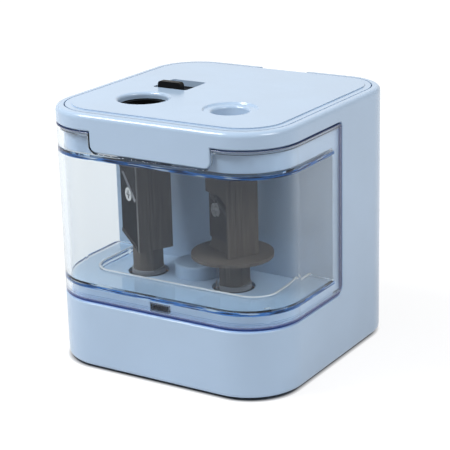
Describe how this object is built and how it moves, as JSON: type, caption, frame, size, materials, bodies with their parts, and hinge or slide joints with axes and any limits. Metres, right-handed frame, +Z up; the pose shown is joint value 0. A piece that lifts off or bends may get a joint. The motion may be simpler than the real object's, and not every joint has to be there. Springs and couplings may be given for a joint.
{
  "type": "pencil sharpener",
  "caption": "Battery pencil sharpener with a large and a small pencil hole on top, rotating cutter carriers and a clear pull-out shavings bin.",
  "frame": {"origin": "on the table, under the middle of the housing", "axes": "+Z up, -Y to the front where the bin pulls out, +X to the user's right"},
  "size_m": [0.08, 0.079, 0.0813],
  "materials": {
    "housing_blue": "gloss",
    "bin_clear": "clear gloss",
    "carrier_dark": "satin",
    "guide_black": "satin",
    "blade_steel": "brushed",
    "screw_steel": "bright",
    "gear_white": "satin",
    "gear_grey": "satin",
    "pinion_brass": "machined",
    "bush_bronze": "sintered",
    "axle_steel": "ground",
    "motor_steel": "plated",
    "motor_cap": "satin",
    "spring_steel": "bright",
    "board_green": "lacquered",
    "switch_black": "satin",
    "plunger_grey": "satin",
    "frame_grey": "satin",
    "cell_wrap": "printed wrap",
    "contact_nickel": "plated",
    "foot_rubber": "matte"
  },
  "bodies": {
    "housing": {"main_housing": "housing_blue", "top_plate": "housing_blue", "gear_deck": "housing_blue", "base_plate": "housing_blue", "gear_frame": "frame_grey", "spindle_bushes": "bush_bronze", "idler_axle": "axle_steel", "transfer_axle": "axle_steel", "motor_can": "motor_steel", "motor_end_cap": "motor_cap", "motor_terminals": "pinion_brass", "start_board": "board_green", "left_start_switch": "switch_black", "right_start_switch": "switch_black", "battery_tray": "frame_grey", "aa_cells": "cell_wrap", "battery_springs": "contact_nickel", "battery_plates": "contact_nickel", "base_screws": "screw_steel", "frame_screws": "screw_steel", "deck_screws": "screw_steel", "rubber_feet": "foot_rubber"},
    "bin": {"shavings_bin": "bin_clear"},
    "guide": {"guide_slide": "guide_black"},
    "left_spindle": {"left_spindle_gear": "gear_grey", "left_return_spring": "spring_steel"},
    "right_spindle": {"right_spindle_gear": "gear_grey", "right_return_spring": "spring_steel"},
    "left_cutter": {"left_carrier": "carrier_dark", "left_blade": "blade_steel", "left_blade_screw": "screw_steel"},
    "right_cutter": {"right_carrier": "carrier_dark", "right_blade": "blade_steel", "right_blade_screw": "screw_steel"},
    "idler": {"idler_gear": "gear_white"},
    "transfer": {"transfer_gear": "gear_white"},
    "motor_rotor": {"motor_pinion": "pinion_brass", "motor_shaft": "axle_steel"},
    "left_plunger": {"left_switch_plunger": "plunger_grey"},
    "right_plunger": {"right_switch_plunger": "plunger_grey"},
    "door": {"battery_door": "housing_blue"}
  },
  "joints": [
    {"name": "bin_pull", "type": "slide", "parent": "housing", "child": "bin", "axis": [0, -1, 0], "range_m": [0, 0.045]},
    {"name": "guide_shift", "type": "slide", "parent": "housing", "child": "guide", "axis": [0, 1, 0], "range_m": [0, 0.0095]},
    {"name": "left_spin", "type": "hinge", "parent": "housing", "child": "left_spindle", "pos_m": [-0.01675, -0.01575, 0], "axis": [0, 0, 1], "continuous": true},
    {"name": "right_spin", "type": "hinge", "parent": "housing", "child": "right_spindle", "pos_m": [0.01365, -0.01575, 0], "axis": [0, 0, 1], "continuous": true},
    {"name": "idler_spin", "type": "hinge", "parent": "housing", "child": "idler", "pos_m": [-0.00155, -0.01145, 0], "axis": [0, 0, 1], "continuous": true},
    {"name": "transfer_spin", "type": "hinge", "parent": "housing", "child": "transfer", "pos_m": [-0.00155, 0.00055, 0], "axis": [0, 0, 1], "continuous": true},
    {"name": "motor_spin", "type": "hinge", "parent": "housing", "child": "motor_rotor", "pos_m": [-0.00155, 0.01055, 0], "axis": [0, 0, 1], "continuous": true},
    {"name": "left_press", "type": "slide", "parent": "left_spindle", "child": "left_cutter", "axis": [0, 0, -1], "range_m": [0, 0.002], "stiffness_N_per_m": 500, "springref_m": -0.003, "deforming": ["left_return_spring"]},
    {"name": "right_press", "type": "slide", "parent": "right_spindle", "child": "right_cutter", "axis": [0, 0, -1], "range_m": [0, 0.002], "stiffness_N_per_m": 500, "springref_m": -0.003, "deforming": ["right_return_spring"]},
    {"name": "left_switch_press", "type": "slide", "parent": "housing", "child": "left_plunger", "axis": [0, 0, -1], "range_m": [0, 0.002]},
    {"name": "right_switch_press", "type": "slide", "parent": "housing", "child": "right_plunger", "axis": [0, 0, -1], "range_m": [0, 0.002]},
    {"name": "door_tilt", "type": "hinge", "parent": "housing", "child": "door", "pos_m": [0, 0.03955, 0.008], "axis": [-1, 0, 0], "range_deg": [0, 40]}
  ],
  "couplings": [
    {"joint": "right_spin", "follows": "left_spin", "ratio": 1},
    {"joint": "idler_spin", "follows": "left_spin", "ratio": -2.25},
    {"joint": "transfer_spin", "follows": "left_spin", "ratio": 5.25},
    {"joint": "motor_spin", "follows": "left_spin", "ratio": -15.75},
    {"joint": "left_switch_press", "follows": "left_press", "ratio": 1},
    {"joint": "right_switch_press", "follows": "right_press", "ratio": 1}
  ]
}
